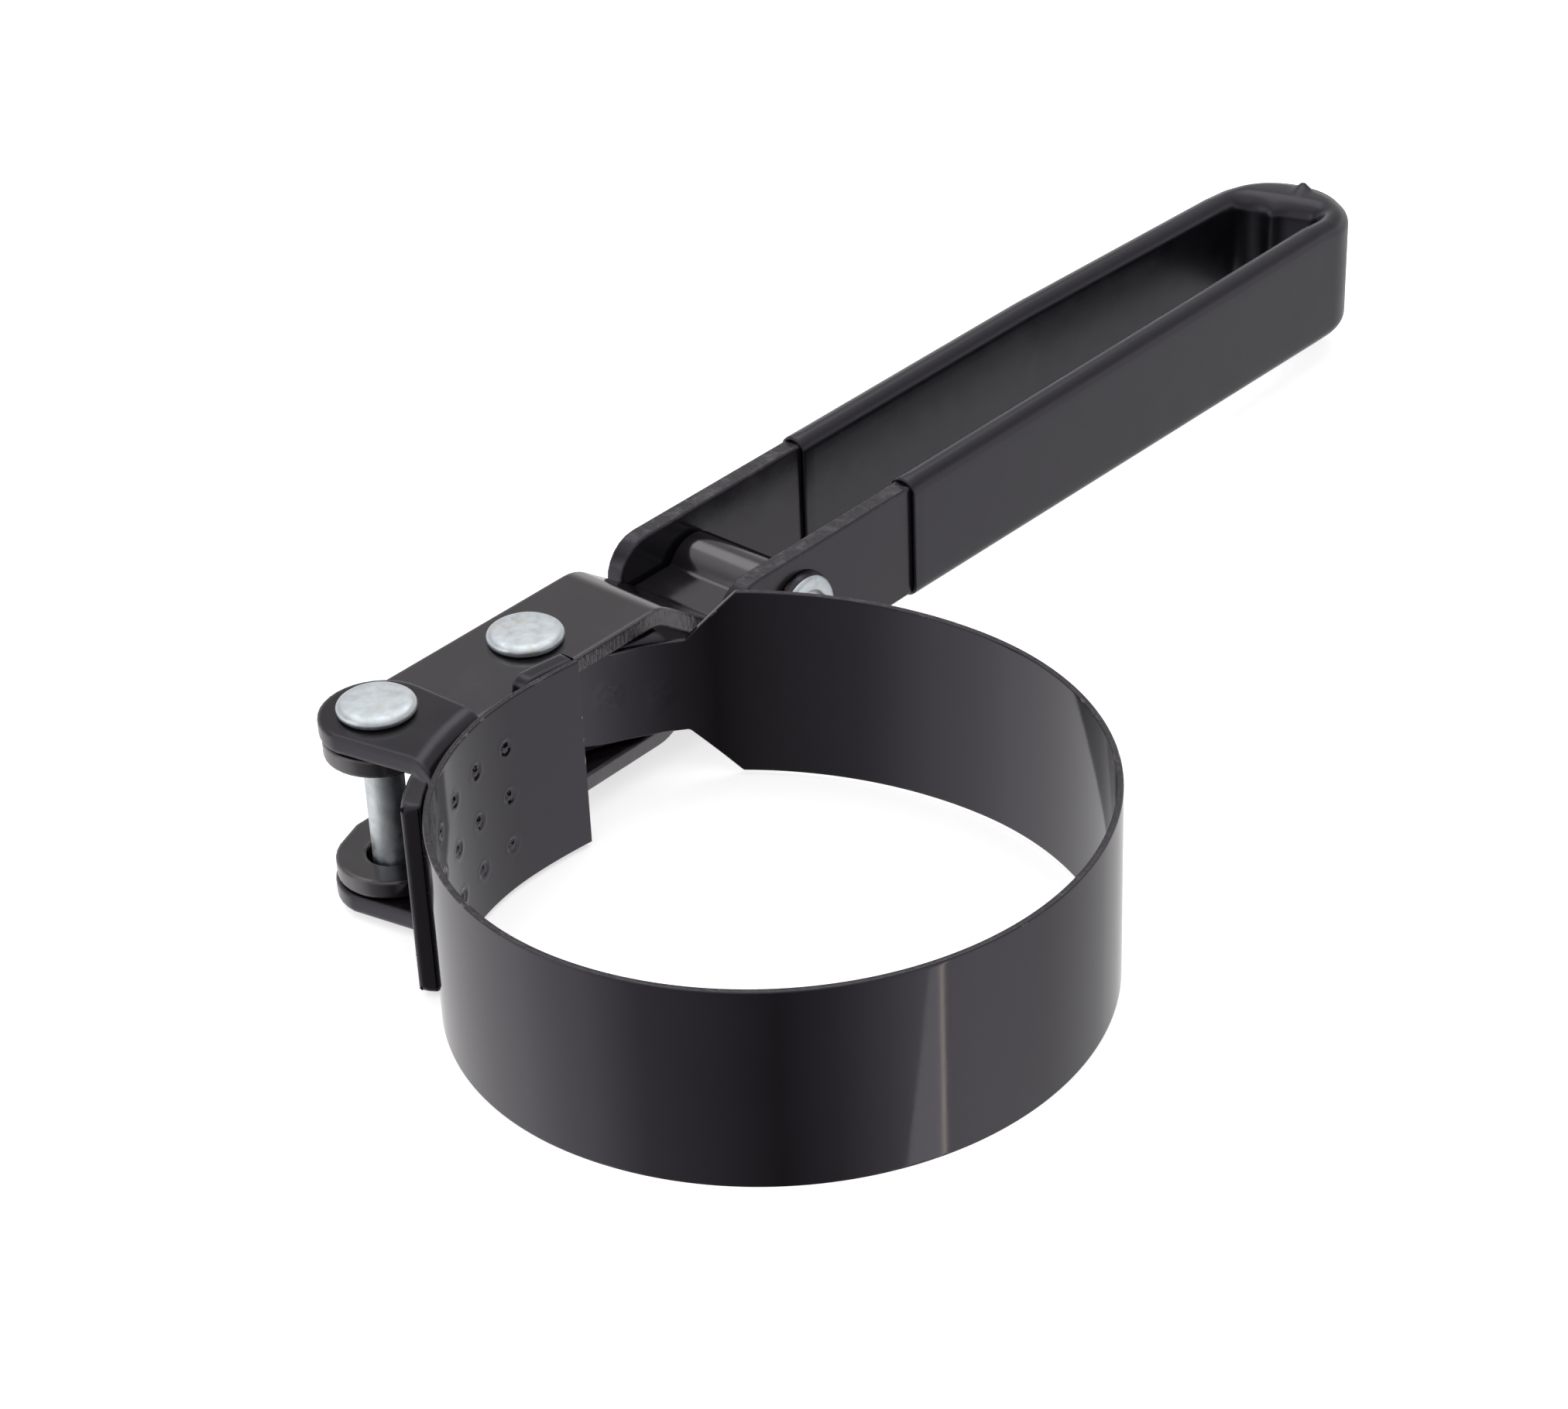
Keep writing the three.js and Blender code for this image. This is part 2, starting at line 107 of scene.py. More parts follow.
def link_object(name, data):
    linked = bpy.data.objects.new(name, data)
    bpy.context.scene.collection.objects.link(linked)
    return linked


def add_camera():
    data = bpy.data.cameras.new("camera")
    data.sensor_width = 36.0
    data.lens = CAMERA_LENS
    data.clip_start = 0.01
    data.dof.use_dof = False
    azimuth, elevation = math.radians(CAMERA_AZIMUTH), math.radians(CAMERA_ELEVATION)
    forward = Vector((
        math.cos(elevation) * math.sin(azimuth),
        math.cos(elevation) * math.cos(azimuth),
        -math.sin(elevation),
    ))
    turn = forward.to_track_quat("-Z", "Y").to_matrix().to_4x4()
    roll = Matrix.Rotation(math.radians(CAMERA_ROLL), 4, "Z")
    camera = link_object("camera", data)
    camera.matrix_world = Matrix.Translation(at(*CAMERA_PLACE)) @ turn @ roll
    bpy.context.scene.camera = camera


def add_stage_sheet(name, corners, colour, glow, tint=(1, 1, 1)):
    """A flat four-cornered stage piece that gives off light of its own."""
    mesh = bpy.data.meshes.new(name)
    mesh.from_pydata(corners, [], [(0, 1, 2, 3)])
    sheet = link_object(name, mesh)
    material = bpy.data.materials.new(name)
    material.use_nodes = True
    shader = material.node_tree.nodes["Principled BSDF"]
    shader.inputs["Base Color"].default_value = (*colour, 1)
    shader.inputs["Roughness"].default_value = 0.9
    shader.inputs["Specular IOR Level"].default_value = 0.1
    shader.inputs["Emission Color"].default_value = (*tint, 1)
    shader.inputs["Emission Strength"].default_value = glow
    mesh.materials.append(material)
    return sheet


def add_floor():
    """A pale floor. Glossy reflections look past it to the studio, as they would to cards."""
    half = FLOOR_HALF
    corners = [(-half, -half, 0), (half, -half, 0), (half, half, 0), (-half, half, 0)]
    floor = add_stage_sheet("floor", corners, (0.9, 0.9, 0.9), FLOOR_GLOW)
    floor.visible_glossy = False


def add_card(name, corners, strength, tint=(1, 1, 1)):
    """A bright card below the floor's level, where only the strap's front mirrors it."""
    add_stage_sheet(name, [at(x, CARD_Y, z) for x, z in corners], (0, 0, 0), strength, tint)


def add_softbox(name, place, size, power):
    """A rectangular lamp at a place in metres, aimed at the middle of the row frame."""
    data = bpy.data.lights.new(name, "AREA")
    data.shape = "RECTANGLE"
    data.size, data.size_y = size
    data.energy = power
    lamp = link_object(name, data)
    lamp.location = place
    lamp.rotation_euler = (-Vector(place)).to_track_quat("-Z", "Y").to_euler()


def set_ramp(ramp, stops):
    """Gives a colour ramp its (place, colour) stops; a colour may be one grey level."""
    while len(ramp.elements) < len(stops):
        ramp.elements.new(0.5)
    for element, (place, colour) in zip(ramp.elements, stops):
        element.position = place
        grey = (colour,) * 3 if isinstance(colour, (int, float)) else colour
        element.color = (*grey, 1)


def add_world():
    """A white studio, darker on one side below the horizon."""
    world = bpy.data.worlds.new("studio")
    world.use_nodes = True
    tree = world.node_tree

    def math_node(operation, *values):
        node = tree.nodes.new("ShaderNodeMath")
        node.operation = operation
        for slot, value in enumerate(values):
            if isinstance(value, bpy.types.NodeSocket):
                tree.links.new(value, node.inputs[slot])
            else:
                node.inputs[slot].default_value = value
        return node.outputs[0]

    def ramp_node(value, stops):
        node = tree.nodes.new("ShaderNodeValToRGB")
        tree.links.new(value, node.inputs["Fac"])
        set_ramp(node.color_ramp, stops)
        return node.outputs["Color"]

    def brightness(value, stops):
        scaled = ramp_node(value, [(place, level / RAMP_SCALE) for place, level in stops])
        return math_node("MULTIPLY", scaled, RAMP_SCALE)

    direction = tree.nodes.new("ShaderNodeSeparateXYZ")
    view = tree.nodes.new("ShaderNodeTexCoord").outputs["Generated"]
    tree.links.new(view, direction.inputs[0])
    x, y, z = direction.outputs
    turn = math_node("DIVIDE", math_node("ARCTAN2", y, x), math.tau)
    turn = math_node("FRACT", math_node("ADD", turn, 1.0))
    below = brightness(turn, [(azimuth / 360, level) for azimuth, level in LOW_STUDIO])
    height = math_node("ADD", math_node("MULTIPLY", z, 0.5), 0.5)
    above = brightness(height, HIGH_STUDIO)
    is_above = ramp_node(height, HORIZON)
    level = math_node("ADD", math_node("MULTIPLY", above, is_above),
                      math_node("MULTIPLY", below, math_node("SUBTRACT", 1.0, is_above)))
    background = tree.nodes["Background"]
    tree.links.new(level, background.inputs["Strength"])
    background.inputs["Color"].default_value = (*STUDIO_TINT, 1)
    bpy.context.scene.world = world


add_camera()
add_floor()
add_world()
add_card("line_card", LINE_CARD, 4.5, (1.0, 0.9, 0.76))
add_card("wedge_card", WEDGE_CARD, 1.9)
add_softbox("back_softbox", (0.42, 0.5, 1.05), (1.0, 0.8), 2.4)
add_softbox("left_softbox", (-1.0, 0.5, 0.5), (0.6, 0.6), 1.2)
bpy.context.scene.view_settings.view_transform = "Standard"


# ---- Materials -----------------------------------------------------------------------------

class Nodes:
    """A short way to lay out one material's nodes."""

    def __init__(self, name):
        self.material = bpy.data.materials.new(name)
        self.material.use_nodes = True
        self.tree = self.material.node_tree
        self.shader = self.tree.nodes["Principled BSDF"]
        self.coordinates = self.add("ShaderNodeTexCoord")
        self.place = self.coordinates.outputs["Object"]

    def add(self, kind, inputs=None, **settings):
        node = self.tree.nodes.new(kind)
        for key, value in settings.items():
            setattr(node, key, value)
        for key, value in (inputs or {}).items():
            self.put(node, key, value)
        return node

    def put(self, node, key, value):
        if isinstance(value, bpy.types.NodeSocket):
            self.tree.links.new(value, node.inputs[key])
        else:
            node.inputs[key].default_value = value

    def noise(self, scale, detail=3.0, roughness=0.5, vector=None):
        node = self.add("ShaderNodeTexNoise", {
            "Vector": vector or self.place, "Scale": scale, "Detail": detail, "Roughness": roughness,
        })
        return node.outputs["Fac"]

    def stretched(self, scale):
        return self.add("ShaderNodeMapping", {"Vector": self.place, "Scale": scale}).outputs[0]

    def ramp(self, value, stops):
        node = self.add("ShaderNodeValToRGB", {"Fac": value})
        set_ramp(node.color_ramp, stops)
        return node.outputs["Color"]

    def mix(self, factor, a, b):
        node = self.add("ShaderNodeMix", data_type="RGBA")
        self.put(node, 0, factor)
        for slot, value in ((6, a), (7, b)):
            self.put(node, slot, value if isinstance(value, bpy.types.NodeSocket) else (*value, 1))
        return node.outputs[2]

    def math(self, operation, a, b):
        node = self.add("ShaderNodeMath", {0: a, 1: b}, operation=operation)
        return node.outputs[0]

    def bump(self, height, strength, distance, normal=None):
        node = self.add("ShaderNodeBump", {
            "Height": height, "Strength": strength, "Distance": distance,
        })
        if normal:
            self.put(node, "Normal", normal)
        return node.outputs["Normal"]

    def rounded_normal(self, radius):
        node = self.add("ShaderNodeBevel", {"Radius": radius}, samples=BEVEL_SAMPLES)
        return node.outputs["Normal"]

    def edges(self, width):
        """1 on edges sharper than about the given width, 0 on flat ground."""
        dot = self.add("ShaderNodeVectorMath", operation="DOT_PRODUCT")
        self.put(dot, 0, self.rounded_normal(width))
        self.put(dot, 1, self.add("ShaderNodeNewGeometry").outputs["Normal"])
        return self.ramp(dot.outputs["Value"], [(0.86, 1.0), (0.97, 0.0)])


BEVEL_SAMPLES = 4
JOIN_MARK = "joined"                  # a mesh attribute: 1 where an end isn't a real edge
X_AXIS, Y_AXIS, Z_AXIS = range(3)

PAINT_IOR = 1.5
PAINT_TINT = (0.0052, 0.0045, 0.0056)
RUBBED_STEEL = (0.05, 0.046, 0.048)
CHIPPED_STEEL = (0.42, 0.38, 0.33)
SHEEN_TINT = (0.91, 0.87, 1.0)        # the black finishes mirror slightly purple
VINYL_TINT = (0.0036, 0.0032, 0.0046)
ZINC_MOTTLE = [(0.3, (0.50, 0.54, 0.56)), (0.5, (0.58, 0.625, 0.65)), (0.7, (0.65, 0.69, 0.715))]
ZINC_STAIN = (0.60, 0.57, 0.47)


def set_mirror(shader, ior, tint, level=0.5):
    shader.inputs["IOR"].default_value = ior
    shader.inputs["Specular Tint"].default_value = (*tint, 1)
    shader.inputs["Specular IOR Level"].default_value = level


def edge_wear(n):
    """Where paint is chipped off an edge, and where it is only rubbed thin."""
    joined = n.add("ShaderNodeAttribute", attribute_name=JOIN_MARK).outputs["Fac"]
    edge = n.math("MULTIPLY", n.edges(0.45 * MM), n.math("SUBTRACT", 1.0, joined))
    flakes = n.ramp(n.noise(420, 5, 0.65), [(0.54, 0.0), (0.58, 1.0)])
    patches = n.ramp(n.noise(95, 2), [(0.51, 0.0), (0.58, 1.0)])
    chips = n.math("MULTIPLY", n.math("MULTIPLY", edge, flakes), patches)
    rubbed = n.math("MULTIPLY", edge, n.ramp(n.noise(260, 4), [(0.4, 0.0), (0.7, 0.5)]))
    return chips, rubbed


def black_paint(name, gloss, peel, sheared=None, bare=0.04, upright=False, soft_edge=None):
    """Gloss black over steel.

    peel is the strength of the orange peel. sheared is the object axis that cut edges face, if
    they show, and bare is how bright the steel is there. upright adds the faint upright ripples
    of thin sheet. soft_edge is how far the paint rounds an edge, in metres.
    """
    n = Nodes(name)
    set_mirror(n.shader, PAINT_IOR, SHEEN_TINT)
    chips, rubbed = edge_wear(n)
    colour = n.mix(n.noise(60, 4), PAINT_TINT, tuple(c * 1.8 for c in PAINT_TINT))
    colour = n.mix(rubbed, colour, RUBBED_STEEL)
    colour = n.mix(chips, colour, CHIPPED_STEEL)
    smear = n.ramp(n.noise(140, 5, 0.6), [(0.35, gloss * 0.8), (0.7, gloss * 1.35)])
    n.put(n.shader, "Roughness", n.math("ADD", smear, n.math("MULTIPLY", chips, 0.4)))

    normal = n.rounded_normal(soft_edge) if soft_edge else None
    normal = n.bump(n.noise(900, 3), peel, 0.05 * MM, normal)
    normal = n.bump(n.noise(160, 2), peel, 0.2 * MM, normal)
    if upright:
        ripple = n.noise(170, 2, 0.5, n.stretched((1, 1, 0.07)))
        normal = n.bump(ripple, 0.10, 0.12 * MM, normal)
    scratch = n.noise(260, 2, 0.4, n.stretched((0.35, 4, 4)))
    normal = n.bump(n.ramp(scratch, [(0.70, 0.0), (0.73, 1.0)]), -0.12, 0.03 * MM, normal)
    if sheared is not None:
        facing = n.add("ShaderNodeSeparateXYZ", {0: n.coordinates.outputs["Normal"]})
        cut = n.ramp(n.math("ABSOLUTE", facing.outputs[sheared], 0.0), [(0.88, 0.0), (0.96, 1.0)])
        tear = n.noise(900, 4, 0.6, n.stretched((1.8, 0.6, 0.6)))
        normal = n.bump(n.math("MULTIPLY", cut, tear), 0.5, 0.25 * MM, normal)
        worn = n.math("MULTIPLY", cut, n.ramp(n.noise(500, 3), [(0.5, 0.0), (0.75, 0.7)]))
        colour = n.mix(worn, colour, (bare, bare * 0.95, bare * 0.97))
    n.put(n.shader, "Base Color", colour)
    n.put(n.shader, "Normal", n.bump(chips, -0.3, 0.06 * MM, normal))
    return n.material


def zinc_plate(name):
    """Dull zinc plating: mottled, slightly yellowed in places, with fine scratches."""
    n = Nodes(name)
    mottle = n.ramp(n.noise(520, 5, 0.62), ZINC_MOTTLE)
    stain = n.ramp(n.noise(230, 3), [(0.55, 0.0), (0.75, 0.5)])
    n.put(n.shader, "Base Color", n.mix(stain, mottle, ZINC_STAIN))
    n.shader.inputs["Metallic"].default_value = 1.0
    n.put(n.shader, "Roughness", n.ramp(n.noise(800, 4), [(0.3, 0.34), (0.7, 0.55)]))
    scratch = n.noise(1500, 2, 0.5, n.stretched((0.12, 1, 1)))
    grain = n.bump(n.noise(1800, 4), 0.12, 0.05 * MM)
    n.put(n.shader, "Normal", n.bump(scratch, 0.08, 0.04 * MM, grain))
    return n.material


def dipped_vinyl(name):
    """Soft black vinyl, slightly wavy from running down as it set."""
    n = Nodes(name)
    set_mirror(n.shader, PAINT_IOR, SHEEN_TINT)
    lighter = tuple(c * 1.35 for c in VINYL_TINT)
    n.put(n.shader, "Base Color", n.mix(n.noise(45, 3), VINYL_TINT, lighter))
    n.put(n.shader, "Roughness", n.ramp(n.noise(200, 4), [(0.3, 0.26), (0.7, 0.34)]))
    fine = n.bump(n.noise(2400, 2), 0.05, 0.03 * MM)
    n.put(n.shader, "Normal", n.bump(n.noise(70, 2), 0.10, 0.4 * MM, fine))
    return n.material


strap_paint = black_paint("strap_paint", 0.075, 0.02, sheared=Z_AXIS, upright=True)
plate_paint = black_paint("plate_paint", 0.16, 0.07, soft_edge=0.9 * MM)
bracket_paint = black_paint("bracket_paint", 0.13, 0.06, sheared=Y_AXIS, soft_edge=0.7 * MM)
bar_paint = black_paint("bar_paint", 0.2, 0.1, sheared=Z_AXIS, bare=0.085, soft_edge=0.6 * MM)
set_mirror(bracket_paint.node_tree.nodes["Principled BSDF"], 1.6, (1.0, 0.97, 1.0), 0.85)
rivet_zinc = zinc_plate("rivet_zinc")
grip_vinyl = dipped_vinyl("grip_vinyl")


# ---- Mesh helpers --------------------------------------------------------------------------

def new_piece(name, mesh, material, body, nodes):
    """A shown piece in place of CAD nodes; body is one CAD body, or None for a blended piece."""
    piece = link_object(name, mesh)
    mesh.materials.clear()
    mesh.materials.append(material)
    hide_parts(*nodes)
    if body:
        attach(piece, body)
    return piece


def mesh_of(bm, name, sharp):
    """The finished mesh, facing outward, smooth except at edges over sharp degrees."""
    bmesh.ops.recalc_face_normals(bm, faces=bm.faces)
    if bm.calc_volume(signed=True) < 0:
        bmesh.ops.reverse_faces(bm, faces=bm.faces)
    mesh = bpy.data.meshes.new(name)
    bm.to_mesh(mesh)
    bm.free()
    mesh.shade_smooth()
    mesh.set_sharp_from_angle(angle=math.radians(sharp))
    return mesh


def skin(rings, closed=False):
    """A closed skin over equal rings of points; the ends are capped unless the rings close."""
    bm = bmesh.new()
    loops = [[bm.verts.new(point) for point in ring] for ring in rings]
    pairs = list(zip(loops, loops[1:]))
    if closed:
        pairs.append((loops[-1], loops[0]))
    for one, two in pairs:
        for k in range(len(one)):
            after = (k + 1) % len(one)
            bm.faces.new((one[k], one[after], two[after], two[k]))
    if not closed:
        bm.faces.new(loops[0])
        bm.faces.new(loops[-1])
    return bm


FLAT_ANGLE = 0.6                      # degrees: CAD faces this close to flat are merged
CREASE_ANGLE = 24                     # degrees: edges sharper than this are rounded
THROWN = 0.6                          # share of the rounding that a sound corner stays within


def refined(node, name, body, width, material, merge=0.02 * MM):
    """A copy of a CAD solid in place of its node, with its edges rounded by width metres."""
    bm = bmesh.new()
    bm.from_mesh(frame["nodes"][node].data)
    bmesh.ops.remove_doubles(bm, verts=bm.verts, dist=merge)
    bmesh.ops.dissolve_degenerate(bm, edges=bm.edges, dist=merge)
    bmesh.ops.dissolve_limit(
        bm, angle_limit=math.radians(FLAT_ANGLE), verts=bm.verts, edges=bm.edges, delimit=set(),
    )
    if width:
        crease = math.radians(CREASE_ANGLE)
        creases = [e for e in bm.edges if e.is_manifold and e.calc_face_angle() > crease]
        solid = BVHTree.FromBMesh(bm)
        bmesh.ops.bevel(
            bm, geom=creases, offset=width, segments=3, profile=0.5, affect="EDGES",
        )
        # Where creases crowd, the bevel can throw a corner out, so it is put back on the solid.
        for vert in bm.verts:
            near, _, _, away = solid.find_nearest(vert.co)
            if away > width * THROWN:
                vert.co = near
        bmesh.ops.dissolve_degenerate(bm, edges=bm.edges, dist=0.003 * MM)
    piece = new_piece(name, mesh_of(bm, name, 60), material, body, [node])
    piece.modifiers.new("weighted", "WEIGHTED_NORMAL").keep_sharp = True


def arc(middle, radius, start, end, step):
    """Points on an arc between two angles in degrees, about step millimetres apart."""
    count = max(2, round(math.radians(abs(end - start)) * radius / step))
    turns = [math.radians(start + (end - start) * i / count) for i in range(count + 1)]
    return [(middle[0] + radius * math.cos(t), middle[1] + radius * math.sin(t)) for t in turns]


def rounded(corners, step=0.5):
    """An open line through (x, y, radius) corners, rounded at every inner one."""
    path = [corners[0][:2]]
    for before, here, after in zip(corners, corners[1:], corners[2:]):
        corner, radius = Vector(here[:2]), here[2]
        back = (Vector(before[:2]) - corner).normalized()
        ahead = (Vector(after[:2]) - corner).normalized()
        half = back.angle(ahead) / 2
        middle = corner + (back + ahead).normalized() * (radius / math.sin(half))
        first = corner + back * (radius / math.tan(half)) - middle
        last = corner + ahead * (radius / math.tan(half)) - middle
        start = math.degrees(math.atan2(first.y, first.x))
        turn = (math.degrees(math.atan2(last.y, last.x)) - start + 180) % 360 - 180
        path += arc(middle, radius, start, start + turn, step)
    return path + [corners[-1][:2]]


def resampled(path, count):
    """The same line with count equal steps."""
    lengths = [0.0]
    for a, b in zip(path, path[1:]):
        lengths.append(lengths[-1] + math.dist(a, b))
    points, k = [], 0
    for i in range(count + 1):
        want = lengths[-1] * i / count
        while k < len(path) - 2 and lengths[k + 1] < want:
            k += 1
        share = (want - lengths[k]) / (lengths[k + 1] - lengths[k])
        points.append(tuple(Vector(path[k]).lerp(Vector(path[k + 1]), share)))
    return points


# ---- Strap: one strip, shown as two pieces that meet where nothing bends --------------------

THICK_OUT, THICK_IN = 0.47, 0.5       # from the centre line to the outer and inner faces
RIM = 0.17                            # rounding of the strap's edges
ROWS = 96
JOIN = 308.0                          # degrees round the loop to where the two pieces meet
JOIN_GAP = 0.02                       # degrees
SHOULDER = (36.8, 38.2)               # where the 45 degree cuts start
TONGUE_HEADING = 134.0                # degrees, the strap's heading there
TONGUE_DROP = 8.1
INSIDE_MARKS_FROM_Y = 20


def chained(middle, radius, new_radius, angle):
    """The middle of an arc that takes over smoothly from another arc at an angle."""
    reach = radius - new_radius
    return (
        middle[0] + reach * math.cos(math.radians(angle)),
        middle[1] + reach * math.sin(math.radians(angle)),
    )


# The strap's centre line: arcs as (middle, radius), each tangent to the one it grows from.
LOOP = ((0.0, 0.0), 49.5)
SIDE = (chained(*LOOP, 44.8, 186), 44.8)
END = (chained(*SIDE, 89.0, 90), 89.0)
BACK = (chained(*LOOP, 63.5, 361), 63.5)
TONGUE = (chained(*BACK, 43.5, 395.6), 43.5)

# Spans of the two pieces: (arc, from, to, step in millimetres).
ROUND_SPANS = [
    (END, 82.33, 90, 0.5), (SIDE, 90, 132, 0.3), (SIDE, 132, 186, 1.5), (LOOP, 186, JOIN, 1.5),
]
BACK_SPANS = [
    (LOOP, JOIN + JOIN_GAP, 361, 1.5), (BACK, 361, 395.6, 0.6), (TONGUE, 395.6, 434, 0.4),
]

# Spot welds and broad weld marks on the inside, as (x, height).
WELDS = [
    (-8.4, 24.8), (-8.4, 16.3), (-8.7, 7.8), (-16.0, 25.0), (-16.2, 16.4), (-16.3, 7.9),
    (-22.8, 24.5), (-23.1, 16.2), (-23.0, 7.8), (-29.2, 23.8), (-29.4, 16.0), (-29.2, 8.4),
]
BLOTS = [(20.4, 16.9), (28.0, 15.2)]
MARK_REACH = 4.5


def stations(spans):
    """(point, outward normal) along the spans."""
    out = []
    for (middle, radius), start, end, step in spans:
        points = arc(middle, radius, start, end, step)
        for x, y in points[1:] if out else points:
            out.append(((x, y), ((x - middle[0]) / radius, (y - middle[1]) / radius)))
    return out


def edge_drop(x, y):
    """How far the strap's edges have come in towards the tongue."""
    heading = math.radians(TONGUE_HEADING)
    run = (x - SHOULDER[0]) * math.cos(heading) + (y - SHOULDER[1]) * math.sin(heading)
    return min(max(run, 0.0), TONGUE_DROP)


def hump(distance, width):
    """1 at no distance, falling off smoothly over a width."""
    return math.exp(-((distance / width) ** 2))


def weld_pit(distance, _x, _z):
    """Depth of a spot weld: a round groove with a raised middle and a faint ring outside."""
    groove, middle = 0.24 * hump(distance - 0.85, 0.26), 0.17 * hump(distance, 0.52)
    return groove - middle - 0.05 * hump(distance - 1.5, 0.3)


def weld_blot(distance, x, z):
    """Depth of a broad, uneven weld mark."""
    ragged = distance * (1 + 0.35 * noise.noise(Vector((x * 0.5, z * 0.5, 3.0))))
    hollow = 0.06 * max(0.0, 1 - (ragged / 3.0) ** 2)
    return hollow * (0.7 + 0.6 * noise.noise(Vector((x * 1.3, z * 1.3, 8.0))))


def section(low, high, press):
    """The strap's section as (offset from the centre line, height); press dents the inside."""

    def heights():
        return [low + RIM + (high - low - 2 * RIM) * k / ROWS for k in range(ROWS + 1)]

    def corner(offset, side, height, hand, sweep):
        middle = (offset - side * RIM, height - hand * RIM)
        return [
            (middle[0] + side * RIM * math.cos(math.radians(a)),
             middle[1] + hand * RIM * math.sin(math.radians(a)))
            for a in sweep
        ]

    away, back = (20, 45, 70), (70, 45, 20)
    outer = [(THICK_OUT, z) for z in heights()]
    inner = [(press(z) - THICK_IN, z) for z in reversed(heights())]
    return (
        outer + corner(THICK_OUT, 1, high, 1, away)
        + [(THICK_OUT - RIM, high), (RIM - THICK_IN, high)]
        + corner(-THICK_IN, -1, high, 1, back) + inner + corner(-THICK_IN, -1, low, -1, away)
        + [(RIM - THICK_IN, low), (THICK_OUT - RIM, low)]
        + corner(THICK_OUT, 1, low, -1, back)
    )


def strap_ring(point, normal, marks, depth, narrows):
    """The strap's section at one station, dented where a mark reaches it."""
    (x, y), (nx, ny) = point, normal
    drop = edge_drop(x, y) if narrows else 0.0
    close = [mark for mark in marks if y >= INSIDE_MARKS_FROM_Y and abs(x - mark[0]) < MARK_REACH]

    def press(z):
        return sum(
            depth(math.hypot((x - mx) / max(abs(ny), 0.3), z - mz), x, z)
            for mx, mz in close if abs(z - mz) < MARK_REACH
        )

    return [at(x + nx * t, y + ny * t, z) for t, z in section(drop, STRAP_HEIGHT - drop, press)]


def band(name, spans, marks, depth, narrows, join_at_end):
    """One length of strap, with the rings next to the other length marked as no real edge."""
    rings = [strap_ring(*station, marks, depth, narrows) for station in stations(spans)]
    mesh = mesh_of(skin(rings), name, 40)
    count, size = len(rings), len(rings[0])
    near_join = range(count - 2, count) if join_at_end else range(2)
    mark = mesh.attributes.new(JOIN_MARK, "FLOAT", "POINT")
    mark.data.foreach_set("value", [float(i // size in near_join) for i in range(count * size)])
    return mesh


def add_strap():
    mesh = band("strap_round", ROUND_SPANS, WELDS, weld_pit, False, True)
    round_piece = new_piece(
        "strap_round", mesh, strap_paint, None, ["strap_clip_end", "strap_front"],
    )
    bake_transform(round_piece)
    mesh = band("strap_back", BACK_SPANS, BLOTS, weld_blot, True, False)
    back_piece = new_piece(
        "strap_back", mesh, strap_paint, None, ["strap_tongue"],
    )
    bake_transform(back_piece)


# ---- Grip: a dipped sleeve, thicker where it ran down to the looped end ---------------------

MOUTH_X = 86.5
TURN_X = 203.0                        # where the looped end starts
END_X = 221.3
STRAIGHT_STEPS, END_STEPS = 40, 72
NEAR_OUT, NEAR_BAR, NEAR_IN = 43.4, 46.05, 48.7      # Y of the near side's faces and bar
FAR_IN, FAR_BAR, FAR_OUT = 66.9, 69.55, 72.2
LEAN_X, LEAN_RUN, LEAN = 149.0, 69.65, 2.5           # the far side comes in by LEAN over a run
MOUTH_LOW, MOUTH_HIGH = 5.15, 27.15
END_LOWER, END_HIGHER = 1.9, 0.2      # how much deeper the sleeve is at its looped end
GRIP_ROUND = 2.55
GRIP_INSET = 0.1                      # keeps the skin inside the CAD sleeve
END_BULGE_X, END_BULGE_RUN = 204.0, 8.0
BAR_HALF, BAR_LOW, BAR_HIGH, BAR_ROUND = 1.8, 6.0, 26.3, 0.3
SIDE_ROWS = 10

# The rolled lip at each mouth, from the sleeve's skin in to its bar: (forward, inset).
LIP = ((0.22, 0.16), (0.04, 0.32), (0.0, 0.5), (0.12, 0.72))
SKIN_START, CORE_START, LIP_ROUND = 0.55, 0.5, 2.5

# A hardened drip on the end, and a run down the inside of the loop.
DRIP, DRIP_WIDTH, DRIP_PUSH = (218.5, 57.2, 26.7), 1.1, (0.4025, 0.2875, 1.035)
RUN, RUN_WIDTH, RUN_PUSH = (210.1, 58.6), 1.5, (-0.675, -0.1875, 0.0)
RUN_BOTTOM = 9


def lean(x):
    """How far the sleeve's far side has come in at x."""
    return LEAN * max(0.0, x - LEAN_X) / LEAN_RUN


def grip_line(near_y, far_y, *turns):
    """A line of the sleeve from the near mouth round the looped end to the far mouth."""
    xs = [MOUTH_X + (TURN_X - MOUTH_X) * (i / STRAIGHT_STEPS) for i in range(STRAIGHT_STEPS)]
    near = [(x, near_y) for x in xs]
    far = [(x, far_y - lean(x)) for x in reversed(xs)]
    end = rounded([(TURN_X, near_y), *turns, (TURN_X, far_y - lean(TURN_X))])
    return near + resampled(end, END_STEPS) + far


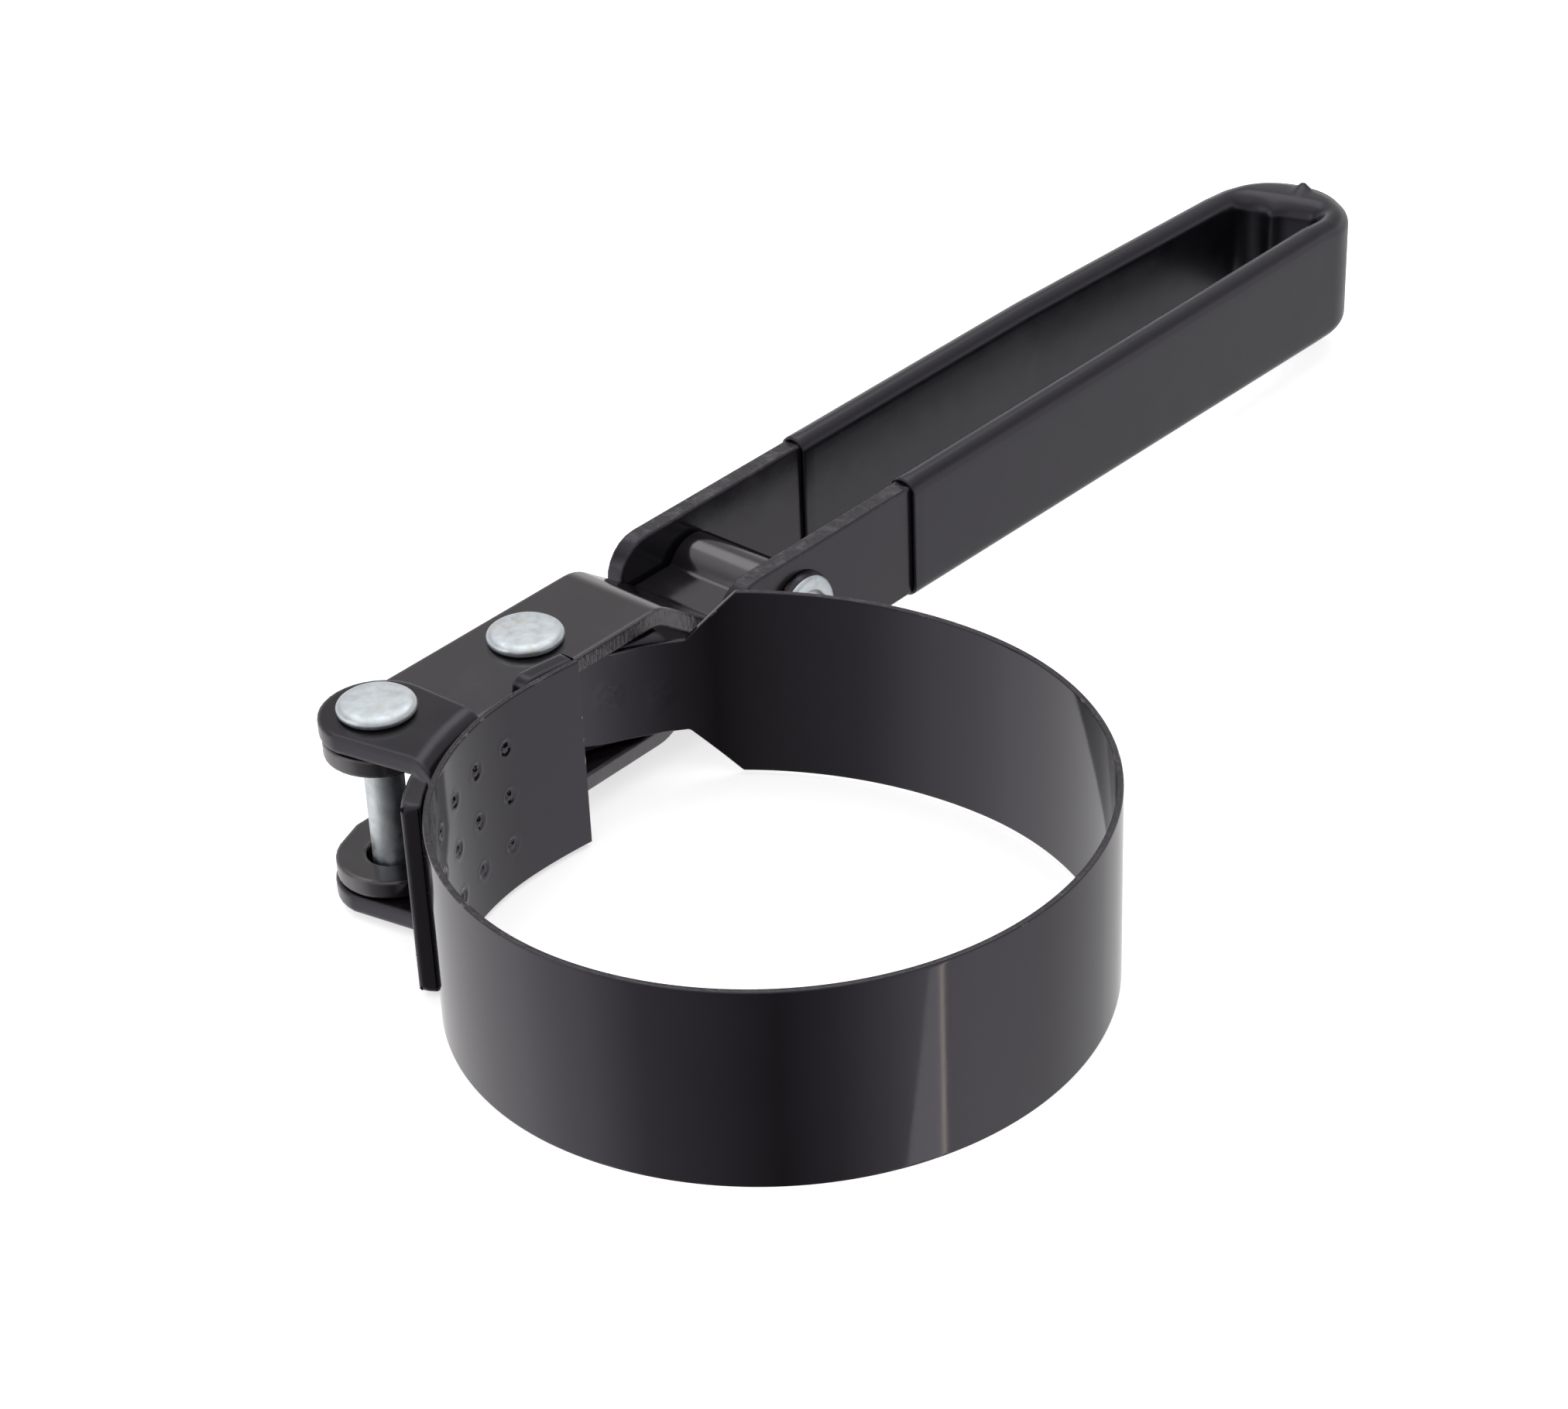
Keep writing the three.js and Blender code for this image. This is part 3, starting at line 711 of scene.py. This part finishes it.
def grip_ring(outer, inner, low, high, round_out, round_in, inset=0.0):
    """A ring of the sleeve between a point of its outer line and one of its inner line."""
    across = Vector(inner) - Vector(outer)
    width = across.length - 2 * inset
    across.normalize()
    low, high = low + inset, high - inset
    ro, ri = min(round_out, width * 0.49), min(round_in, width * 0.49)

    def quarter(s, z, radius, start):
        turns = [math.radians(start - a) for a in range(0, 91, 10)]
        return [(s + radius * math.cos(t), z + radius * math.sin(t)) for t in turns]

    steps = [k / SIDE_ROWS for k in range(1, SIDE_ROWS)]
    up = [(0.0, low + ro + (high - low - 2 * ro) * k) for k in steps]
    down = [(width, high - ri - (high - low - 2 * ri) * k) for k in steps]
    ring = (
        up + quarter(ro, high - ro, ro, 180) + quarter(width - ri, high - ri, ri, 90)
        + down + quarter(width - ri, low + ri, ri, 0) + quarter(ro, low + ro, ro, -90)
    )
    start = Vector(outer) + across * inset
    return [Vector((start.x + across.x * s, start.y + across.y * s, z)) for s, z in ring]


def dressed(point):
    """The sleeve's skin with the hardened drip on its end and the run inside the loop."""
    away = (point - Vector(DRIP)).length
    if away < 4:
        point = point + Vector(DRIP_PUSH) * hump(away, DRIP_WIDTH)
    flat = math.hypot(point.x - RUN[0], point.y - RUN[1])
    if flat < 3 and point.z > RUN_BOTTOM:
        point = point + Vector(RUN_PUSH) * hump(flat, RUN_WIDTH)
    return point


def skin_ring(outer, inner):
    """The sleeve's skin at one place: deeper and rounder towards the looped end."""
    x = outer[0]
    run = (x - MOUTH_X) / (END_X - MOUTH_X)
    endness = min(max((x - END_BULGE_X) / END_BULGE_RUN, 0.0), 1.0)
    bead = 0.1 * hump(x - MOUTH_X - 1.2, 0.9)
    ring = grip_ring(
        outer, inner, MOUTH_LOW - END_LOWER * run,
        MOUTH_HIGH + END_HIGHER * run - 0.35 * endness,
        GRIP_ROUND + 0.9 * endness, GRIP_ROUND + 1.3 * endness, GRIP_INSET - bead,
    )
    return [dressed(point) for point in ring]


def core_ring(outer, inner, bar):
    """The sleeve's inside, where it holds the bar."""
    across = (Vector(inner) - Vector(outer)).normalized() * BAR_HALF
    middle = Vector(bar)
    return grip_ring(middle - across, middle + across, BAR_LOW, BAR_HIGH, BAR_ROUND, BAR_ROUND)


def shifted(ring, forward):
    return [point + Vector((forward, 0, 0)) for point in ring]


def lip_rings(outer, inner):
    """The rolled lip at a mouth, from the skin in to the bar."""
    rings = []
    for forward, inset in LIP:
        radius = LIP_ROUND - inset
        ring = grip_ring(outer, inner, MOUTH_LOW, MOUTH_HIGH, radius, radius, inset)
        rings.append(shifted(ring, forward))
    return rings


def add_grip():
    outer = grip_line(NEAR_OUT, FAR_OUT, (END_X, NEAR_OUT, 11.9), (END_X, 69.9, 11.9))
    inner = grip_line(NEAR_IN, FAR_IN, (213.0, NEAR_IN, 2.6), (209.0, 64.5, 3.4))
    bar = grip_line(NEAR_BAR, FAR_BAR, (218.65, NEAR_BAR, 10.2), (218.65, 67.05, 10.2))
    skins = [skin_ring(o, i) for o, i in zip(outer, inner)]
    cores = [core_ring(o, i, b) for o, i, b in zip(outer, inner, bar)]
    for mouth in (0, -1):
        skins[mouth] = shifted(skins[mouth], SKIN_START)
        cores[mouth] = shifted(cores[mouth], CORE_START)
    near_lip = lip_rings(outer[0], inner[0])
    far_lip = lip_rings(outer[-1], inner[-1])
    rings = near_lip[::-1] + skins + far_lip + cores[::-1]
    bm = skin([[at(*point) for point in ring] for ring in rings], closed=True)
    new_piece(
        "grip_sleeve", mesh_of(bm, "grip_sleeve", 50), grip_vinyl, "handle",
        ["handle_grip"],
    )


# ---- Rivets --------------------------------------------------------------------------------

SEGMENTS = 96
SHANK = 3.0
TAIL = [                              # (radius, distance below the plate), from the axis out
    (0, 1.3), (1.6, 1.3), (3.6, 1.26), (4.6, 1.1), (5.05, 0.8), (5.2, 0.45), (5.15, 0.1), (4.9, 0),
]
HEAD = [                              # (radius, distance above the plate), from the rim in
    (5.45, 0), (5.75, 0.08), (5.94, 0.3), (6.0, 0.6), (5.97, 0.9), (5.82, 1.2), (5.55, 1.42),
    (5.1, 1.56), (4.4, 1.63), (3.4, 1.66), (2.3, 1.68), (1.1, 1.7), (0, 1.7),
]
DISHED_TAIL = [                       # (radius, distance above its lowest ring), up to the bar
    (0, 1.35), (1.8, 1.4), (3.2, 1.3), (3.8, 0.95), (4.05, 0.4), (4.25, 0.1), (4.55, 0),
    (5.2, 0.03), (5.75, 0.16), (6.15, 0.42), (6.4, 0.8), (6.55, 1.2), (6.8, 1.7),
]
DISHED_TAIL_HEIGHT = 2.15
WASH = 0.15                           # room between a swivel part and its plate
HANDLE_HALF = 13.4                    # from the handle's middle to a bar's outer face
BLACK_SIDE_FROM, BLACK_SIDE_RADIUS = 0.7, 5     # bounds of the black side of the dished tail
HEAD_DENT = 0.03


def lathe(profile, place):
    """A turned skin: profile is (radius, height) from the axis below to the axis above."""
    bm = bmesh.new()
    first, *middle, last = profile
    foot = bm.verts.new(place(0, 0, first[1]))
    tip = bm.verts.new(place(0, 0, last[1]))
    turns = [math.tau * k / SEGMENTS for k in range(SEGMENTS)]
    loops = [
        [bm.verts.new(place(r * math.cos(a), r * math.sin(a), h)) for a in turns]
        for r, h in middle
    ]
    for k in range(SEGMENTS):
        after = (k + 1) % SEGMENTS
        bm.faces.new((foot, loops[0][after], loops[0][k]))
        bm.faces.new((tip, loops[-1][k], loops[-1][after]))
        for one, two in zip(loops, loops[1:]):
            bm.faces.new((one[k], one[after], two[after], two[k]))
    return bm


def add_rivet(node, x, y, top, body):
    """An upright rivet through two plates, the same distance from the strap's two rims."""
    bottom = STRAP_HEIGHT - top
    shank = [
        (SHANK + 0.05, bottom), (SHANK, bottom + 0.1), (SHANK, MID - 4), (SHANK, MID),
        (SHANK, MID + 4), (SHANK, top - 0.1), (SHANK + 0.05, top),
    ]
    tail = [(r, bottom - h) for r, h in TAIL]
    head = [(r, top + h) for r, h in HEAD]

    def place(u, v, h):
        dent = 0.0
        if h > top + 1:
            dent = HEAD_DENT * (1 + noise.noise(Vector((u * 0.5 + x, v * 0.5, 0))))
        return at(x + u, y + v, h - max(dent, 0.0))

    mesh = mesh_of(lathe(tail + shank + head, place), node, 40)
    new_piece(node + "_plated", mesh, rivet_zinc, body, [node])


def add_swivel_rivet():
    """The rivet across the handle; its dished tail is on the near side."""
    x, y = SWIVEL
    near, far = y - HANDLE_HALF - WASH, y + HANDLE_HALF + WASH
    tail = near - DISHED_TAIL_HEIGHT
    profile = [(r, tail + h) for r, h in DISHED_TAIL] + [
        (6.85, near - 0.1), (6.6, near), (SHANK + 0.05, near), (SHANK, near + 0.1), (SHANK, y),
        (SHANK, far - 0.1), (SHANK + 0.05, far),
    ] + [(r, far + h) for r, h in HEAD]
    mesh = mesh_of(lathe(profile, lambda u, v, h: at(x + u, h, MID + v)), "swivel_rivet", 40)
    new_piece("swivel_rivet_plated", mesh, rivet_zinc, "handle", ["swivel_rivet"])
    # The dished tail's side, within these bounds, is shown black with the plate finish; its face
    # stays zinc.
    mesh.materials.append(plate_paint)
    low, high = at(x, tail + BLACK_SIDE_FROM, MID), at(x, near + 1, MID)
    for face in mesh.polygons:
        radius = math.hypot(face.center.x - low.x, face.center.z - low.z)
        if low.y < face.center.y < high.y and radius > BLACK_SIDE_RADIUS * MM:
            face.material_index = 1


add_strap()
add_grip()
refined("outer_clip", "outer_clip_plate", "clip_end", 0.5 * MM, plate_paint, merge=0.05 * MM)
refined("inner_clip", "inner_clip_channel", "tongue", 0, plate_paint)
refined("swivel_bracket", "folded_bracket", "lever", 0.4 * MM, bracket_paint)
refined("handle_frame", "handle_bars", "handle", 0.4 * MM, bar_paint)
add_rivet("clip_rivet", *CLIP_RIVET, OUTER_EAR_TOP, "clip_end")
add_rivet("tongue_rivet", *TONGUE_RIVET, BRACKET_TOP + WASH, "lever")
add_swivel_rivet()
